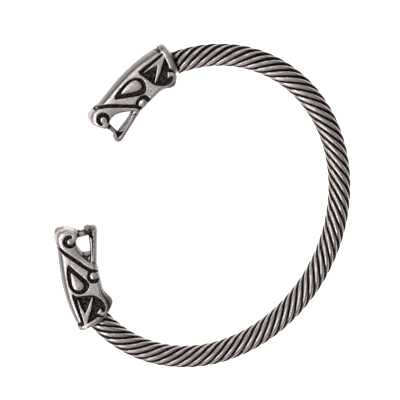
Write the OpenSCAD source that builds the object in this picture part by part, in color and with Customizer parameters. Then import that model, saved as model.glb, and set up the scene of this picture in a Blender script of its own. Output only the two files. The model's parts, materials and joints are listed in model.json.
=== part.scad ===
// Open arm ring of twisted wire with two cast beast heads facing each other.
// Nine round wires are laid round a core rod that is bent to an oval. The rod
// runs on into a blind hole in each head, and the wires stop at the collars.
// The ring lies on its side as it would by itself: on the flats of both heads
// and on the far side of the cable, so it leans a little.

/* [Ring] */
// Half the length of the oval that the cable's middle follows
oval_long = 37.4; // [35:0.1:40]
// Half the width of that oval
oval_wide = 31.9; // [30:0.1:34]
// Where the cable meets the left head, in degrees round the oval
left_end = 220; // [217:0.5:222]
// Where the cable meets the right head, in degrees round the oval
right_end = -21; // [-24:0.5:-18]
// How far the left head is bent inward from the cable's line, in degrees
left_bend = 28.5; // [24:0.5:34]
// How far the right head is bent inward from the cable's line, in degrees
right_bend = 32.3; // [24:0.5:36]

/* [Cable] */
// Diameter over the wires
cable_d = 5.5; // [5.2:0.1:5.8]
// Diameter of one wire
wire_d = 1.18; // [1:0.01:1.2]
// Length of cable in which a wire goes once round
lay = 23.1; // [20:0.1:25]
// Diameter of the rod inside the wires
core_d = 2.84; // [2.4:0.02:2.84]

/* [Heads] */
// Width of the flat side faces' wider end, from side to side
head_w = 8.5; // [7.5:0.1:9]
// Depth of the sunk ornament
relief = 0.75; // [0.4:0.05:0.9]
// Slant of the collar across the head, in degrees
collar_slant = 22.4; // [18:0.1:26]
// Thickness of the collar
collar_t = 1.05; // [0.8:0.05:1.3]
// How deep the core rod sits in each head
seat_depth = 3; // [2:0.1:4]

/* [Hidden] */

metal = [0.68, 0.65, 0.64];
wires = 9;
wire_sides = 6;
wire_twist_step = 30;      // degrees of twist between two rings of a wire
core_sides = 10;
core_rings = 44;
seam_gap = 0.1;            // between the wires' ends and the collar
rod_gap = 0.1;             // round the core rod in its hole
wire_r = wire_d / 2;
core_r = core_d / 2;
lay_r = cable_d / 2 - wire_r;
left_seat = [-0.8, -1.9];  // where the cable's middle passes, in each head's frame
right_seat = [-0.8, -1.6];
collar_back = [-0.94, 0];  // a point on the back of the collar, in the head's frame

// How the ring lies: leaned about X, then lifted and centred
rest_lean = 2.05;
rest_roll = -0.3;
rest_lift = 3.905;
ring_middle = [-0.05, 0.06];

// Points along the oval. A row holds the length so far and the angle.
oval_step = 1.5;
first_angle = right_end - 8;
oval_steps = ceil((left_end + 8 - first_angle) / oval_step);

function on_oval(a) = [oval_long * cos(a), oval_wide * sin(a), 0];
function oval_tangent(a) = unit([-oval_long * sin(a), oval_wide * cos(a), 0]);
function unit(v) = v / norm(v);
function step_length(i) = norm(on_oval(first_angle + i * oval_step)
                               - on_oval(first_angle + (i - 1) * oval_step));
oval_table = [for (i = 0, run = 0; i <= oval_steps; i = i + 1, run = run + step_length(i))
              [run, first_angle + i * oval_step]];
angle_table = [for (row = oval_table) [row[1], row[0]]];
function angle_at(run) = lookup(run, oval_table);
function run_at(angle) = lookup(angle, angle_table);
cable_from = run_at(right_end);
cable_to = run_at(left_end);

// A closed tube from a list of rings that have the same number of points
module skin(rings) {
    sides = len(rings[0]);
    last = (len(rings) - 1) * sides;
    walls = [for (i = [0 : len(rings) - 2], k = [0 : sides - 1])
             let (a = i * sides + k, b = i * sides + (k + 1) % sides)
             each [[a, b, b + sides], [a, b + sides, a + sides]]];
    caps = [[for (k = [sides - 1 : -1 : 0]) k], [for (k = [0 : sides - 1]) last + k]];
    polyhedron(points = [for (ring = rings) each ring], faces = concat(walls, caps));
}

// A ring of points of a tube, round a centre and square to its direction
function ring(centre, along, out, radius, sides) =
    let (flat = unit(out - (out * along) * along), up = cross(along, flat))
    [for (k = [0 : sides - 1])
     let (a = -k * 360 / sides)
     centre + radius * (cos(a) * flat + sin(a) * up)];

// How far the wires have turned before or behind an even lay.
// A row holds a length from the right head and the turn there in degrees.
uneven_lay = [[-5, 6], [6, 14], [18, 23], [41, 27], [53, 30], [65, 34], [76, 36], [88, 33],
              [100, 29], [112, 26], [124, 22], [150, 22]];

// Middle of a wire after a run along the cable. The wires turn left-handed.
function wire_point(number, run) =
    let (turn = 360 / wires * number + 360 * (run - cable_from) / lay
                + lookup(run - cable_from, uneven_lay),
         a = angle_at(run),
         outward = cross(oval_tangent(a), [0, 0, 1]))
    on_oval(a) + lay_r * (cos(turn) * outward + [0, 0, sin(turn)]);

module wire(number) {
    reach = 2.6;
    run_step = lay * wire_twist_step / 360;
    count = ceil((cable_to - cable_from + 2 * reach) / run_step);
    runs = [for (i = [0 : count]) cable_from - reach + i * (cable_to - cable_from + 2 * reach) / count];
    rings = [for (run = runs)
             let (here = wire_point(number, run),
                  along = unit(wire_point(number, run + 0.05) - wire_point(number, run - 0.05)))
             ring(here, along, here - on_oval(angle_at(run)), wire_r, wire_sides)];
    color(metal)
    lying()
    difference() {
        skin(rings);
        at_left_head() beyond_collar();
        at_right_head() beyond_collar();
    }
}

// Space in front of the wires' ends, up to the collar's back
module beyond_collar() {
    size = 16;
    translate([collar_back[0], collar_back[1], 0])
    rotate([0, 0, collar_slant])
    translate([-seam_gap, -size / 2, -size / 2])
    cube(size);
}

module core_rod() {
    from = cable_from - seat_depth;
    to = cable_to + seat_depth;
    rings = [for (i = [0 : core_rings])
             let (a = angle_at(from + (to - from) * i / core_rings))
             ring(on_oval(a), oval_tangent(a), [0, 0, 1], core_r, core_sides)];
    color(metal)
    lying()
    skin(rings);
}

// A closed curve through a few points, as a finer outline
function bend_at(p, i, t) =
    let (n = len(p), a = p[(i + n - 1) % n], b = p[i], c = p[(i + 1) % n], d = p[(i + 2) % n])
    b + (c - a) / 2 * t + (a - 2.5 * b + 2 * c - d / 2) * t * t
    + (1.5 * b - a / 2 - 1.5 * c + d / 2) * t * t * t;
function rounded(p, parts = 3) =
    [for (i = [0 : len(p) - 1], k = [0 : parts - 1]) bend_at(p, i, k / parts)];

// A groove's outline. A row of its line holds x, y and the half width there.
function left_of(line, i) =
    let (a = line[max(i - 1, 0)], b = line[min(i + 1, len(line) - 1)],
         along = unit([b[0] - a[0], b[1] - a[1]]))
    [-along[1], along[0]];
function xy(row) = [row[0], row[1]];
function ribbon(line) = concat(
    [for (i = [0 : len(line) - 1]) xy(line[i]) + line[i][2] * left_of(line, i)],
    [for (i = [len(line) - 1 : -1 : 0]) xy(line[i]) - line[i][2] * left_of(line, i)]);

// Sections of the skull, from the neck to the tip of the nose. The heights are
// those of the spine, of both edges of the flat side face, and of the throat.
// along, spine, upper edge, lower edge, throat, half width
skull = [
    [-3.6, 3.0, 1.9, -2.9, -3.5, 0.98],
    [-1.0, 3.9, 2.75, -3.1, -3.85, 0.99],
    [0.6, 4.35, 3.1, -3.15, -4.0, 1],
    [1.4, 4.55, 3.3, -3.4, -4.5, 1],
    [2.3, 4.8, 3.5, -3.75, -5.15, 1],
    [3.2, 5.02, 3.7, -3.95, -5.5, 1],
    [4.1, 5.2, 3.9, -3.7, -5.1, 0.99],
    [5.0, 5.37, 4.05, -3.25, -4.35, 0.98],
    [6.0, 5.52, 4.2, -2.95, -3.85, 0.97],
    [8.0, 5.72, 4.35, -2.95, -3.55, 0.95],
    [10.5, 5.85, 4.45, -2.9, -3.35, 0.93],
    [12.6, 5.83, 4.45, -2.65, -3.15, 0.9],
    [13.6, 5.8, 4.42, -2.1, -2.5, 0.88],
    [14.5, 5.76, 4.4, -1.25, -1.35, 0.86],
    [15.4, 5.72, 4.38, -0.45, -0.55, 0.85],
    [16.4, 5.67, 4.38, 0.3, 0.22, 0.83],
    [17.4, 5.63, 4.4, 0.82, 0.76, 0.81],
    [18.4, 5.62, 4.45, 0.97, 0.91, 0.8],
    [19.3, 5.7, 4.6, 0.87, 0.81, 0.79],
    [20.0, 5.83, 4.65, 0.5, 0.4, 0.79],
    [20.7, 5.93, 4.5, 0.2, 0.05, 0.78],
    [21.3, 5.93, 4.2, 0.3, 0, 0.75],
    [21.9, 5.7, 3.85, 0.8, 0.35, 0.68],
    [22.4, 5.2, 3.55, 1.5, 0.95, 0.55],
    [22.8, 4.5, 3.3, 2.3, 1.8, 0.36],
    [23.05, 3.75, 3.2, 2.9, 2.55, 0.14],
];

// Sections of the lower jaw: along, top, upper edge, lower edge, bottom, half width
jaw = [
    [12.2, -1.6, -1.8, -2.6, -3.0, 0.84],
    [14.0, -1.6, -1.8, -2.95, -3.4, 0.82],
    [15.4, -1.95, -2.1, -3.2, -3.63, 0.79],
    [16.8, -2.2, -2.35, -3.4, -3.88, 0.76],
    [18.6, -2.3, -2.45, -3.7, -4.19, 0.73],
    [20.2, -2.35, -2.5, -4.0, -4.5, 0.7],
    [21.1, -2.3, -2.6, -4.05, -4.62, 0.64],
    [21.8, -2.5, -2.8, -3.95, -4.5, 0.48],
    [22.25, -2.9, -3.1, -3.75, -4.05, 0.27],
];

// One section's points. Its back is crowned and its sides are nearly flat.
function section(row) =
    let (w = row[5] * head_w / 2,
         half = [[0, row[1]],
                 [0.42 * w, row[1] - 0.13 * (row[1] - row[2])],
                 [0.78 * w, row[1] - 0.48 * (row[1] - row[2])],
                 [0.96 * w, row[2] + 0.12 * (row[1] - row[2])],
                 [w, row[2] - 0.1 * (row[2] - row[3])],
                 [w, row[3] + 0.25],
                 [0.96 * w, row[3] - 0.1 * (row[3] - row[4])],
                 [0.74 * w, row[4] + 0.4 * (row[3] - row[4])],
                 [0.38 * w, row[4] + 0.1 * (row[3] - row[4])],
                 [0, row[4]]])
    concat([for (p = half) [row[0], p[1], -p[0]]],
           [for (i = [8 : -1 : 1]) [row[0], half[i][1], half[i][0]]]);

// The same outline cut into both side faces, down to a floor
module in_both_sides(floor_z) {
    for (side = [0, 1])
        mirror([0, 0, side])
        translate([0, 0, floor_z])
        linear_extrude(4)
        children();
}

drop_outline = [[14.35, 3.3], [13.4, 3.98], [12.0, 4.12], [10.5, 4.16], [8.9, 3.9], [7.6, 3.1],
                [7.0, 2.05], [7.05, 1.0], [7.7, 0], [8.8, -0.65], [9.9, -0.45], [11.1, 0.4],
                [12.3, 1.45], [13.5, 2.5]];
drop_island = [[12.8, 3.1], [11.6, 3.42], [10.1, 3.46], [8.7, 3.2], [7.95, 2.5], [7.85, 1.6],
               [8.3, 0.8], [9.2, 0.58], [10.1, 0.9], [11.3, 1.75]];
panel_outline = [[-0.3, 1.2], [0.25, 0.1], [0.85, -1.2], [1.1, -2.1], [1.5, -3.0], [2.4, -3.5],
                 [3.5, -3.5], [4.6, -3.0], [5.5, -2.1], [6.1, -0.9], [6.25, 0.5], [6.3, 2.0],
                 [6.5, 2.9], [7.1, 3.55], [6.2, 3.65], [4.6, 3.4], [2.6, 3.02], [0.5, 2.62],
                 [-0.6, 2.4], [-0.7, 2.1]];
// A raised stroke like an arrow head, with its point on the collar
stroke_island = [[-1.2, 2.1], [0.6, 2.22], [3.0, 2.55], [5.75, 2.82], [5.8, 2.5], [3.9, 2.05],
                 [2.2, 1.4], [3.6, 0.5], [5.95, -0.85], [5.7, -1.1], [3.0, -0.3], [0.9, 0.72],
                 [-0.6, 1.3]];
barb_island = [[1.85, -1.3], [3.05, -2.5], [2.1, -2.65], [1.75, -3.0], [1.9, -3.4], [1.3, -3.3],
               [0.9, -2.4], [1.3, -2.2]];
brow_line = [[19.1, 5.4, 0.3], [18.3, 4.75, 0.36], [17.2, 4.0, 0.4], [15.5, 2.15, 0.38],
             [13.75, 0.05, 0.32], [12.6, -1.4, 0.34], [12.2, -2.5, 0.3], [12.0, -3.3, 0.2]];
cheek_curl = [[12.35, -1.7, 0.2], [12.0, -1.2, 0.26], [11.5, -0.9, 0.26], [10.9, -0.8, 0.28],
              [10.3, -0.95, 0.34], [9.85, -1.35, 0.42], [9.65, -1.9, 0.42], [9.75, -2.5, 0.42],
              [10.1, -3.0, 0.34], [10.2, -3.8, 0.24]];
nostril_curl = [[20.95, 1.75, 0.3], [21.0, 2.2, 0.36], [20.85, 2.75, 0.4], [20.4, 3.2, 0.42],
                [19.8, 3.4, 0.42], [19.2, 3.2, 0.42], [18.75, 2.75, 0.42], [18.6, 2.2, 0.42],
                [18.7, 1.65, 0.36], [19.0, 1.25, 0.28], [19.5, 0.95, 0.16]];
jaw_line = [[14.7, -2.45, 0.1], [15.8, -2.7, 0.16], [18.0, -3.02, 0.17], [20.3, -3.35, 0.16]];
jaw_pit = [[19.4, -3.1], [20.55, -2.45], [21.1, -3.4]];

module ornament() {
    cheek_floor = head_w / 2 - relief;
    in_both_sides(cheek_floor)
    difference() {
        polygon(rounded(panel_outline, 2));
        polygon(stroke_island);
        polygon(barb_island);
    }
    in_both_sides(0.94 * head_w / 2 - relief)
    difference() {
        polygon(rounded(drop_outline));
        polygon(rounded(drop_island));
    }
    in_both_sides(0.9 * head_w / 2 - relief) {
        polygon(ribbon(brow_line));
        polygon(ribbon(cheek_curl));
    }
    in_both_sides(0.79 * head_w / 2 - relief)
    polygon(ribbon(nostril_curl));
    in_both_sides(0.73 * head_w / 2 - 0.45) {
        polygon(ribbon(jaw_line));
        polygon(jaw_pit);
    }
}

// Cuts right across the back: behind the nose, and in front of the collar
module notches() {
    translate([0, 0, -6])
    linear_extrude(12) {
        polygon([[18.15, 6.3], [19.55, 6.3], [18.85, 5.25]]);
        polygon([[-2.2, 4.9], [-0.1, 4.9], [-0.6, 3.0], [-0.95, 2.5]]);
    }
}

// A plate across the neck, slanted as the collar is
module collar() {
    high = 3.2;
    low = 3.95;
    wide = head_w / 2 + 0.3;
    outline = [for (a = [0 : 15 : 345])
               let (h = a < 180 ? high : low, s = sin(a), c = cos(a))
               [h * sign(s) * pow(abs(s), 0.75), wide * sign(c) * pow(abs(c), 0.6)]];
    translate([collar_back[0], collar_back[1], 0])
    rotate([0, 0, collar_slant])
    rotate([90, 0, 90])
    linear_extrude(collar_t)
    polygon(outline);
}

// Hole for the core rod, along the cable's line in the middle of the seat
module rod_hole(bend, seat) {
    translate([seat[0], seat[1], 0])
    rotate([0, 0, bend - 2.6])
    translate([-1.5, 0, 0])
    rotate([0, 90, 0])
    cylinder(h = 1.5 + seat_depth + 0.25, r = core_r + rod_gap, $fn = 48);
}

module head(bend, seat) {
    neck_cut = 12;
    color(metal)
    difference() {
        union() {
            difference() {
                union() {
                    skin([for (row = skull) section(row)]);
                    skin([for (row = jaw) section(row)]);
                }
                // What is behind the collar
                translate([collar_back[0], collar_back[1], 0])
                rotate([0, 0, collar_slant])
                translate([0.4 - neck_cut, -neck_cut / 2, -neck_cut / 2])
                cube(neck_cut);
                ornament();
                notches();
            }
            collar();
            for (side = [0, 1]) mirror([0, 0, side]) fang();
            chin_curl();
        }
        rod_hole(bend, seat);
    }
}

module fang() {
    translate([0, 0, 1.5])
    linear_extrude(1.15)
    polygon([[20.15, 0.9], [21.25, 0.9], [21.1, -2.8], [20.4, -2.8]]);
}

module chin_curl() {
    translate([21.35, -2.7, -1.1])
    cylinder(h = 2.2, r = 0.8, $fn = 32);
}

// The heads' frames: X from the collar to the nose, Y outward to the spine
module at_left_head() {
    a = left_end;
    t = oval_tangent(a);
    translate(on_oval(a))
    rotate([0, 0, atan2(t[1], t[0]) + left_bend])
    mirror([0, 1, 0])
    translate([-left_seat[0], -left_seat[1], 0])
    children();
}

module at_right_head() {
    a = right_end;
    t = oval_tangent(a);
    translate(on_oval(a))
    rotate([0, 0, atan2(-t[1], -t[0]) - right_bend])
    translate([-right_seat[0], -right_seat[1], 0])
    children();
}

module left_head() {
    lying() at_left_head() head(left_bend, left_seat);
}

module right_head() {
    lying() at_right_head() head(right_bend, right_seat);
}

module lying() {
    translate([-ring_middle[0], -ring_middle[1], rest_lift])
    rotate([-rest_lean, rest_roll, 0])
    children();
}

left_head();
right_head();
core_rod();
wire(1);  // wire_1
wire(2);  // wire_2
wire(3);  // wire_3
wire(4);  // wire_4
wire(5);  // wire_5
wire(6);  // wire_6
wire(7);  // wire_7
wire(8);  // wire_8
wire(9);  // wire_9
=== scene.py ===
# %% [markdown]
# # An arm ring of twisted wire with two beast heads
# The ring is a cable of nine wires laid round a core rod, bent to an open oval. Each end is
# soldered into a cast head with sunk ornament. The metal is antiqued: it was blackened all
# over and then polished, so the dark stays in the grooves and between the wires. The packed
# CAD model gives the size and place of every piece, and this file gives them their looks.

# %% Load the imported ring
import json
import math

import bpy
import numpy as np
from mathutils import Matrix, Vector

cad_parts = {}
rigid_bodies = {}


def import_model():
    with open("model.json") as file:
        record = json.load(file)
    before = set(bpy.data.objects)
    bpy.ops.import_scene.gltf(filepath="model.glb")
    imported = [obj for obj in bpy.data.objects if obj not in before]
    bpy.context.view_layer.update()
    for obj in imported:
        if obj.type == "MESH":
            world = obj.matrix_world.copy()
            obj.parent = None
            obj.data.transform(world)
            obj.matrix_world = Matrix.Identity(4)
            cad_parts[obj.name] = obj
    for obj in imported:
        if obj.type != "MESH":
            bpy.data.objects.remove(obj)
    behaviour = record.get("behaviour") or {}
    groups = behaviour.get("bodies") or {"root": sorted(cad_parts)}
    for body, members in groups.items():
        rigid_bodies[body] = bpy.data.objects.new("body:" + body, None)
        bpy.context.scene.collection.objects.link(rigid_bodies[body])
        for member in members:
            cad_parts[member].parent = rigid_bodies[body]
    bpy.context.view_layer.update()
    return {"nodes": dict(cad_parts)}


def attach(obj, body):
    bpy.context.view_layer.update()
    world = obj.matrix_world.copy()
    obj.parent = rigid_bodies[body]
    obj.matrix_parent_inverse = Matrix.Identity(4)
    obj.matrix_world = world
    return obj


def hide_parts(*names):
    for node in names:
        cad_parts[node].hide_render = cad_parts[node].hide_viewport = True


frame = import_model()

print("nodes:", sorted(frame["nodes"]))

# %% [markdown]
# ## The camera
# The ring was photographed from nearly straight above, with a long lens. The camera stands
# about 0.4 m over the ring and leans about eight degrees. It is also rolled, because in the
# picture the opening faces left while the model's opening faces -Y. The place, the aim and
# the roll were worked out from the picture's oval and heads.

# %% Camera
def add_object(name, data):
    """A new object in the scene."""
    made = bpy.data.objects.new(name, data)
    bpy.context.scene.collection.objects.link(made)
    return made


CAMERA_AT = Vector((-0.0460, -0.0399, 0.4054))
CAMERA_AIM = Vector((-0.0014, -0.0015, 0.0045))
CAMERA_ROLL = math.radians(163.76)
LENS_MM = 152.6
SENSOR_MM = 36.0

backward = (CAMERA_AT - CAMERA_AIM).normalized()
level = Vector((0, 0, 1)).cross(backward).normalized()
level_up = backward.cross(level)
rightward = level * math.cos(CAMERA_ROLL) + level_up * math.sin(CAMERA_ROLL)
picture_up = backward.cross(rightward)

camera_data = bpy.data.cameras.new("camera")
camera_data.lens = LENS_MM
camera_data.sensor_width = SENSOR_MM
camera_data.clip_start = 0.01
camera = add_object("camera", camera_data)
camera.matrix_world = Matrix.Translation(CAMERA_AT) @ Matrix(
    (rightward, picture_up, backward)).transposed().to_4x4()
bpy.context.scene.camera = camera
print("camera distance", round((CAMERA_AT - CAMERA_AIM).length, 3), "m")

# %% [markdown]
# ## Sizes shared with the CAD model
# These are the sizes of the model's own source, in millimetres. Everything is first worked
# out with the oval flat in the XY plane, and then laid down as the real ring lies: on both
# heads and on the far side of the cable, so it leans by two degrees.

# %% Named sizes
OVAL_LONG, OVAL_WIDE = 37.4, 31.9
LEFT_END, RIGHT_END = 220.0, -21.0
LEFT_BEND, RIGHT_BEND = 28.5, 32.3
LEFT_SEAT, RIGHT_SEAT = (-0.8, -1.9), (-0.8, -1.6)
CABLE_D, WIRE_D, CORE_D = 5.5, 1.18, 2.84
LAY, WIRES = 23.1, 9
HEAD_W, RELIEF = 8.5, 0.75
LEFT, RIGHT = "left_head", "right_head"
COLLAR_BACK, COLLAR_SLANT, COLLAR_T = (-0.94, 0.0), 22.4, 1.05
REST_LEAN, REST_ROLL, REST_LIFT = 2.05, -0.3, 3.905
RING_MIDDLE = (-0.05, 0.06)
MM = 0.001


def turned(axis, degrees):
    """A turn about an axis."""
    return Matrix.Rotation(np.radians(degrees), 4, axis)


def moved(x, y, z=0.0):
    """A shift in millimetres."""
    return Matrix.Translation((x, y, z))


lying = (moved(-RING_MIDDLE[0], -RING_MIDDLE[1], REST_LIFT)
         @ turned("Y", REST_ROLL) @ turned("X", -REST_LEAN))


def oval(degrees):
    """Point, direction and outward direction on the oval, as rows."""
    a = np.radians(np.atleast_1d(degrees))
    zero = np.zeros_like(a)
    point = np.stack([OVAL_LONG * np.cos(a), OVAL_WIDE * np.sin(a), zero], 1)
    along = np.stack([-OVAL_LONG * np.sin(a), OVAL_WIDE * np.cos(a), zero], 1)
    along /= np.linalg.norm(along, axis=1)[:, None]
    outward = np.cross(along, [0, 0, 1])
    return point, along, outward


def head_place(end, way, bend, seat, flip):
    """Place of a head at an end of the oval, bent away from its line."""
    point, along, _ = oval(end)
    heading = np.degrees(np.arctan2(way * along[0, 1], way * along[0, 0])) + bend
    print("heading of a head:", round(heading, 1))
    return (lying @ moved(*point[0]) @ turned("Z", heading) @ turned("X", flip)
            @ moved(-seat[0], -seat[1]))


head_places = {LEFT: head_place(LEFT_END, 1, LEFT_BEND, LEFT_SEAT, flip=180),
               RIGHT: head_place(RIGHT_END, -1, -RIGHT_BEND, RIGHT_SEAT, flip=0)}

# %% [markdown]
# ## The head's body
# A cast head has soft edges everywhere, which is hard to get from bevelled faces. So the head
# is made as a field of distances on a fine grid: below zero is metal, above zero is air. Each
# slice across the head is an outline from the table, and the table is read smoothly between
# its rows. Blurring the field a little then rounds every edge, as wax and casting do.

# %% Tables of sections
# along, spine, upper edge, lower edge, throat, half width
SKULL = np.array([
    [-3.6, 3.0, 1.9, -2.9, -3.5, 0.98], [-1.0, 3.9, 2.75, -3.1, -3.85, 0.99],
    [0.6, 4.35, 3.1, -3.15, -4.0, 1.0], [1.4, 4.55, 3.3, -3.4, -4.5, 1.0],
    [2.3, 4.8, 3.5, -3.75, -5.15, 1.0], [3.2, 5.02, 3.7, -3.95, -5.5, 1.0],
    [4.1, 5.2, 3.9, -3.7, -5.1, 0.99], [5.0, 5.37, 4.05, -3.25, -4.35, 0.98],
    [6.0, 5.52, 4.2, -2.95, -3.85, 0.97], [8.0, 5.72, 4.35, -2.95, -3.55, 0.95],
    [10.5, 5.85, 4.45, -2.9, -3.35, 0.93], [12.6, 5.83, 4.45, -2.65, -3.15, 0.9],
    [13.6, 5.8, 4.42, -2.1, -2.5, 0.88], [14.5, 5.76, 4.4, -1.25, -1.35, 0.86],
    [15.4, 5.72, 4.38, -0.45, -0.55, 0.85], [16.4, 5.67, 4.38, 0.3, 0.22, 0.83],
    [17.4, 5.63, 4.4, 0.82, 0.76, 0.81], [18.4, 5.62, 4.45, 0.97, 0.91, 0.8],
    [19.3, 5.7, 4.6, 0.87, 0.81, 0.79], [20.0, 5.83, 4.65, 0.5, 0.4, 0.79],
    [20.7, 5.93, 4.5, 0.2, 0.05, 0.79], [21.3, 5.95, 4.1, 0.3, 0.0, 0.78],
    [21.9, 5.75, 3.75, 1.0, 0.55, 0.75], [22.4, 5.3, 3.5, 1.85, 1.35, 0.68],
    [22.8, 4.65, 3.4, 2.65, 2.2, 0.52], [22.95, 4.1, 3.4, 3.05, 2.8, 0.36]])
# along, top, upper edge, lower edge, bottom, half width
JAW = np.array([
    [12.2, -1.6, -1.8, -2.6, -3.0, 0.84], [14.0, -1.6, -1.8, -2.95, -3.4, 0.82],
    [15.4, -1.95, -2.1, -3.2, -3.63, 0.79], [16.8, -2.2, -2.35, -3.4, -3.88, 0.76],
    [18.6, -2.3, -2.45, -3.7, -4.19, 0.73], [20.2, -2.35, -2.5, -4.0, -4.5, 0.7],
    [21.1, -2.3, -2.6, -4.05, -4.62, 0.64], [21.8, -2.5, -2.8, -3.95, -4.5, 0.48],
    [22.25, -2.9, -3.1, -3.75, -4.05, 0.27]])

# %% The grid
# U runs along the head, V up it and Z across it, each a little past the metal.
CELL = 0.125
U = np.arange(-3.0, 23.8, CELL)
V = np.arange(-6.2, 6.6, CELL)
HALF_Z = np.arange(0, 4.95, CELL)
Z = np.concatenate([-HALF_Z[:0:-1], HALF_Z])
GRID_CORNER = [U[0], V[0], Z[0]]
# This much less than the number of points is in the last cell.
JUST_INSIDE = 1.001
print("grid of the head:", len(U), len(V), len(Z))


def read_smoothly(table, at):
    """Rows of the table at new places, by cubic pieces through its rows."""
    x, y = table[:, 0], table[:, 1:]
    slope = np.gradient(y, x, axis=0)
    i = np.clip(np.searchsorted(x, at) - 1, 0, len(x) - 2)
    step = (x[i + 1] - x[i])[:, None]
    t = np.clip((at - x[i])[:, None] / step, 0, 1)
    return ((2 * t**3 - 3 * t**2 + 1) * y[i] + (t**3 - 2 * t**2 + t) * step * slope[i]
            + (3 * t**2 - 2 * t**3) * y[i + 1] + (t**3 - t**2) * step * slope[i + 1])


def off_outline(x, y, outline):
    """Distance from points to a closed outline, below zero inside it."""
    near = np.full(x.shape, 1e9)
    inside = np.zeros(x.shape, bool)
    for (ax, ay), (bx, by) in zip(outline, np.roll(outline, -1, axis=0)):
        ex, ey, wx, wy = bx - ax, by - ay, x - ax, y - ay
        t = np.clip((wx * ex + wy * ey) / (ex * ex + ey * ey + 1e-12), 0, 1)
        near = np.minimum(near, (wx - ex * t) ** 2 + (wy - ey * t) ** 2)
        if ay != by:
            crosses = (ay > y) != (by > y)
            inside ^= crosses & (x < ax + (y - ay) * ex / ey)
    return np.where(inside, -1, 1) * np.sqrt(near)


def blurred(field, sigma):
    """Gaussian blur along each axis, with the edge values held."""
    reach = max(1, int(np.ceil(2.5 * sigma / CELL)))
    steps = np.arange(-reach, reach + 1)
    weights = np.exp(-0.5 * (steps * CELL / sigma) ** 2)
    weights /= weights.sum()
    for axis in range(field.ndim):
        pad = [(reach, reach) if k == axis else (0, 0) for k in range(field.ndim)]
        wide = np.pad(field, pad, mode="edge")
        field = sum(w * np.take(wide, range(s + reach, s + reach + field.shape[axis]), axis)
                    for w, s in zip(weights, steps))
    return field


# %% Body field
def loft_field(table):
    """Field of a body from its sections, mirrored about its middle plane."""
    y, z = np.meshgrid(V, HALF_Z, indexing="ij")
    slices = []
    for u, (top, upper, lower, bottom, half) in zip(U, read_smoothly(table, U)):
        w = max(half, 0.02) * HEAD_W / 2
        crown, flank, keel = top - upper, upper - lower, lower - bottom
        side = np.array([
            [0, top], [0.42 * w, top - 0.13 * crown], [0.78 * w, top - 0.48 * crown],
            [0.93 * w, upper + 0.12 * crown], [0.965 * w, upper - 0.05 * flank],
            [0.99 * w, upper - 0.18 * flank], [w, 0.55 * upper + 0.45 * lower],
            [w, 0.3 * upper + 0.7 * lower], [0.985 * w, lower + 0.25],
            [0.96 * w, lower - 0.1 * keel], [0.74 * w, bottom + 0.4 * keel],
            [0.38 * w, bottom + 0.1 * keel], [0, bottom]])
        outline = np.concatenate([side, side[-2:0:-1] * [-1, 1]])
        slices.append(off_outline(z, y, outline))
    half_field = np.array(slices)
    ends = np.maximum(table[0, 0] - U, U - table[-1, 0])
    half_field = np.maximum(half_field, ends[:, None, None])
    return np.concatenate([half_field[:, :, :0:-1], half_field], axis=2)


def soft_min(a, b, k):
    """The nearer of two fields, run together over a width k like solder."""
    h = np.clip(0.5 + 0.5 * (b - a) / k, 0, 1)
    return b + (a - b) * h - k * h * (1 - h)


def soft_max(a, b, k):
    """The farther of two fields, with its edge softened over a width k."""
    return -soft_min(-a, -b, k)


# How widely the edges are rounded, and how widely the jaw runs into the skull
ROUNDING, JAW_JOIN = 0.17, 0.35
skull = blurred(loft_field(SKULL), ROUNDING)
jaw = blurred(loft_field(JAW), ROUNDING)
body = soft_min(skull, jaw, JAW_JOIN)
print("metal in the plain body:", round(float((body < 0).sum() * CELL**3)), "mm3")

# %% [markdown]
# ## The sunk ornament
# The ornament is drawn as flat outlines: a drop, a panel with an arrow-like stroke, curls and
# long grooves. Each outline becomes a depth map with sloping walls, as a punch or a mould
# leaves them. The map then pushes the side faces inward on both sides of the head. The middle
# of the drop and the two small bosses are pushed out a little, so they catch the light.

# %% Outlines of the ornament
DROP = [
    (14.35, 3.3), (13.4, 3.98), (12.0, 4.12), (10.5, 4.16), (8.9, 3.9), (7.6, 3.1),
    (7.0, 2.05), (7.05, 1.0), (7.7, 0.0), (8.8, -0.65), (9.9, -0.45), (11.1, 0.4),
    (12.3, 1.45), (13.5, 2.5)]
DROP_MIDDLE = [
    (12.8, 3.1), (11.6, 3.42), (10.1, 3.46), (8.7, 3.2), (7.95, 2.5), (7.85, 1.6), (8.3, 0.8),
    (9.2, 0.58), (10.1, 0.9), (11.3, 1.75)]
PANEL = [
    (-0.3, 1.2), (0.25, 0.1), (0.85, -1.2), (1.1, -2.1), (1.5, -3.0), (2.4, -3.5), (3.5, -3.5),
    (4.6, -3.0), (5.5, -2.1), (6.1, -0.9), (6.25, 0.5), (6.3, 2.0), (6.5, 2.9), (7.1, 3.55),
    (6.2, 3.65), (4.6, 3.4), (2.6, 3.02), (0.5, 2.62), (-0.6, 2.4), (-0.7, 2.1)]
STROKE = [
    (-1.2, 2.1), (0.6, 2.22), (3.0, 2.55), (5.75, 2.82), (5.8, 2.5), (3.9, 2.05), (2.2, 1.4),
    (3.6, 0.5), (5.95, -0.85), (5.7, -1.1), (3.0, -0.3), (0.9, 0.72), (-0.6, 1.3)]
BARB = [
    (1.65, -1.25), (2.95, -2.5), (2.0, -2.7), (1.72, -3.0), (1.95, -3.45), (1.3, -3.5),
    (0.9, -2.9), (1.0, -2.3), (1.3, -1.9)]
PANEL_TIP = 13
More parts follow.
